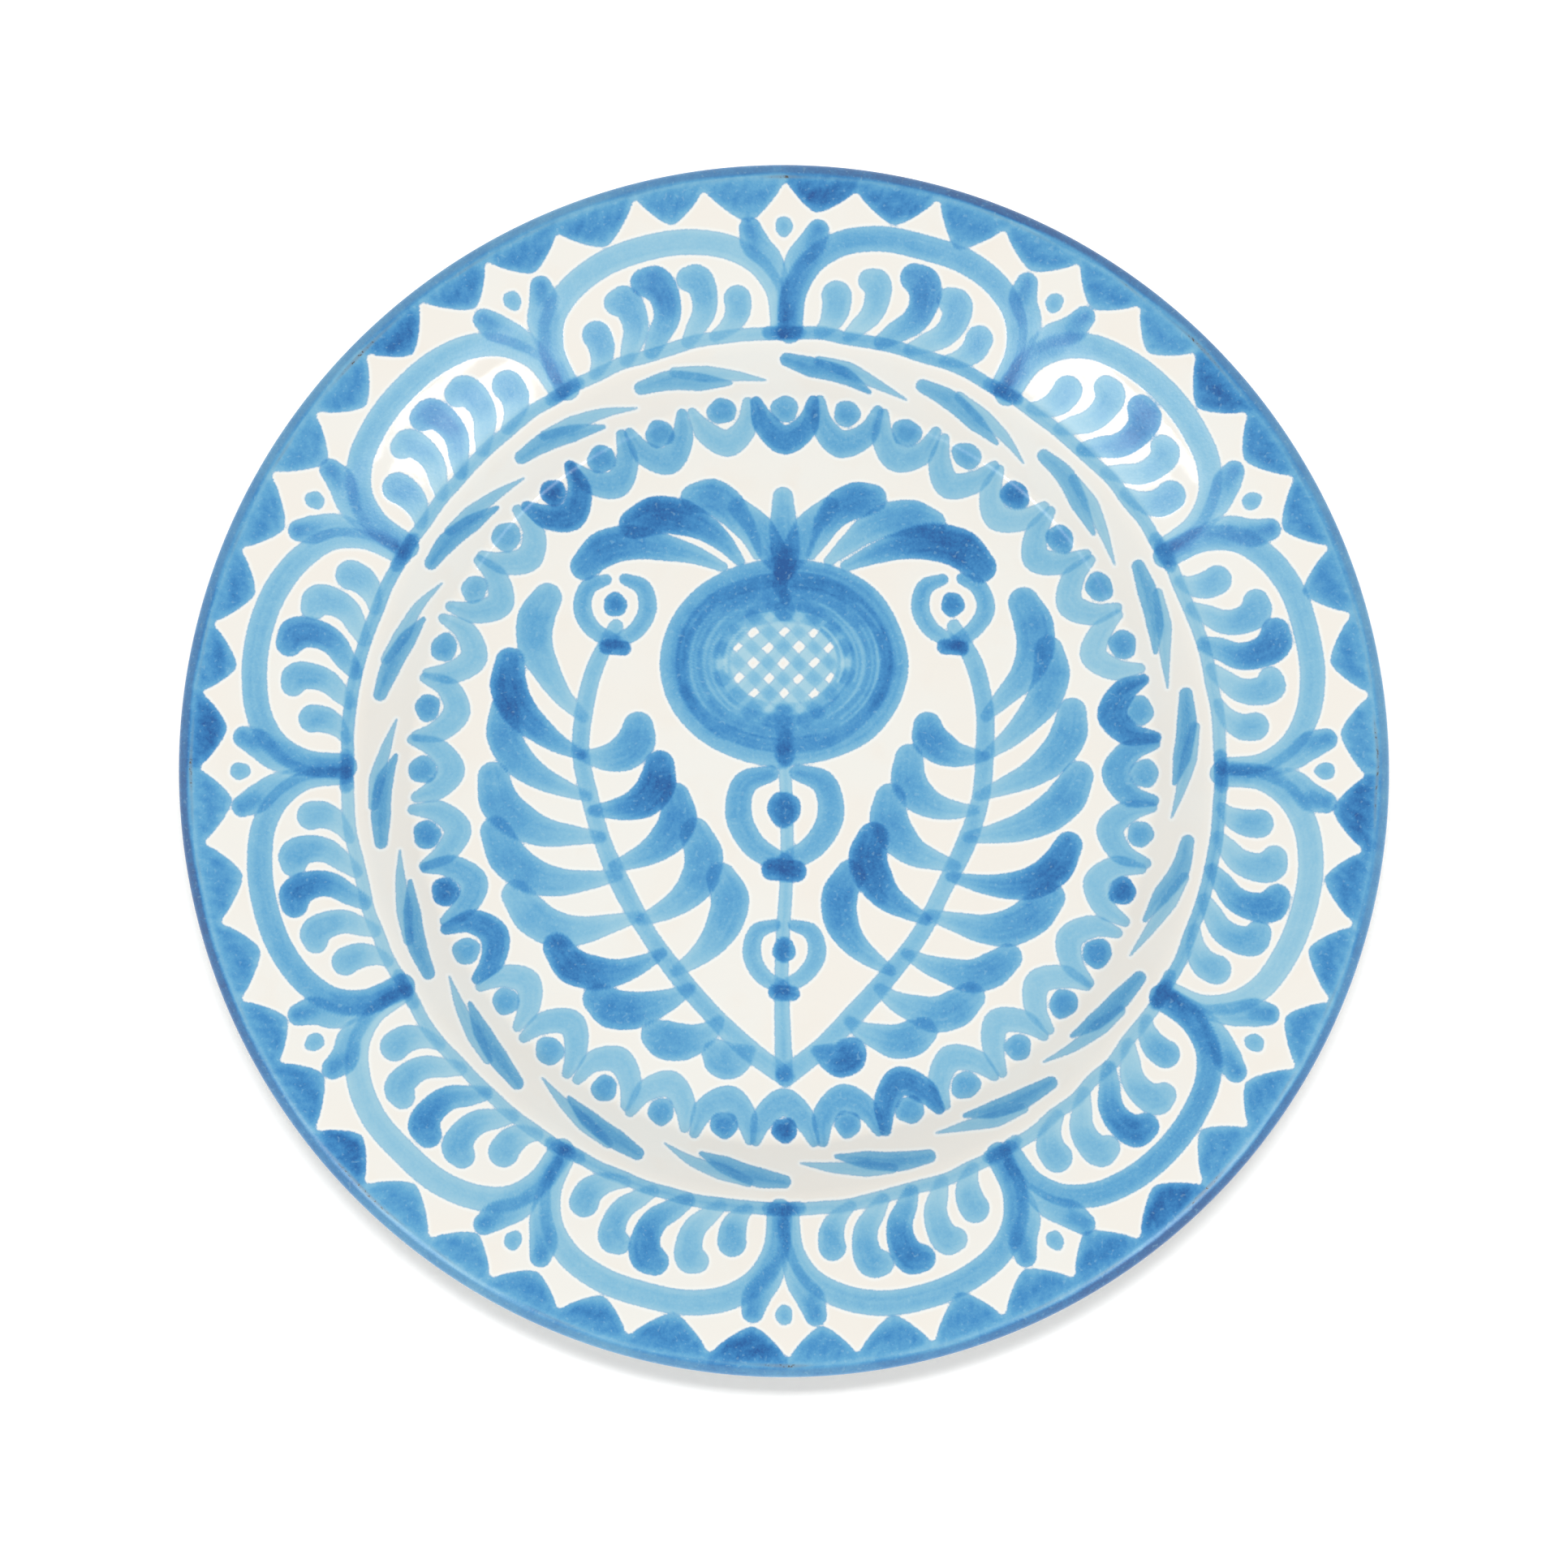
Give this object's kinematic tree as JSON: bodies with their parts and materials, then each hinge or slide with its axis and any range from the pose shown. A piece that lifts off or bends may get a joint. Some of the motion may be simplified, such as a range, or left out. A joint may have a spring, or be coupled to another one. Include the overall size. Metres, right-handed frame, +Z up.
{
  "type": "hand painted ceramic plate",
  "caption": "Round glazed faience plate with a deep well, a broad sloping brim and a turned foot, painted in blues on white.",
  "frame": {"origin": "under the middle of the foot, on the surface the plate stands on", "axes": "+Z up through the middle of the plate, +Y towards the top of the painting, +X to its right"},
  "size_m": [0.3, 0.3, 0.0354],
  "materials": {
    "clay": "bare fired clay, matt",
    "painted_glaze": "glossy white tin glaze with cobalt brushwork",
    "white_glaze": "glossy white tin glaze",
    "blue_glaze": "glossy blue glaze, worn thin at the edge"
  },
  "bodies": {
    "root": {"clay_body": "clay", "foot_ring": "clay", "face_glaze": "painted_glaze", "back_glaze": "white_glaze", "foot_recess_glaze": "white_glaze", "lip_band": "blue_glaze"}
  },
  "joints": []
}
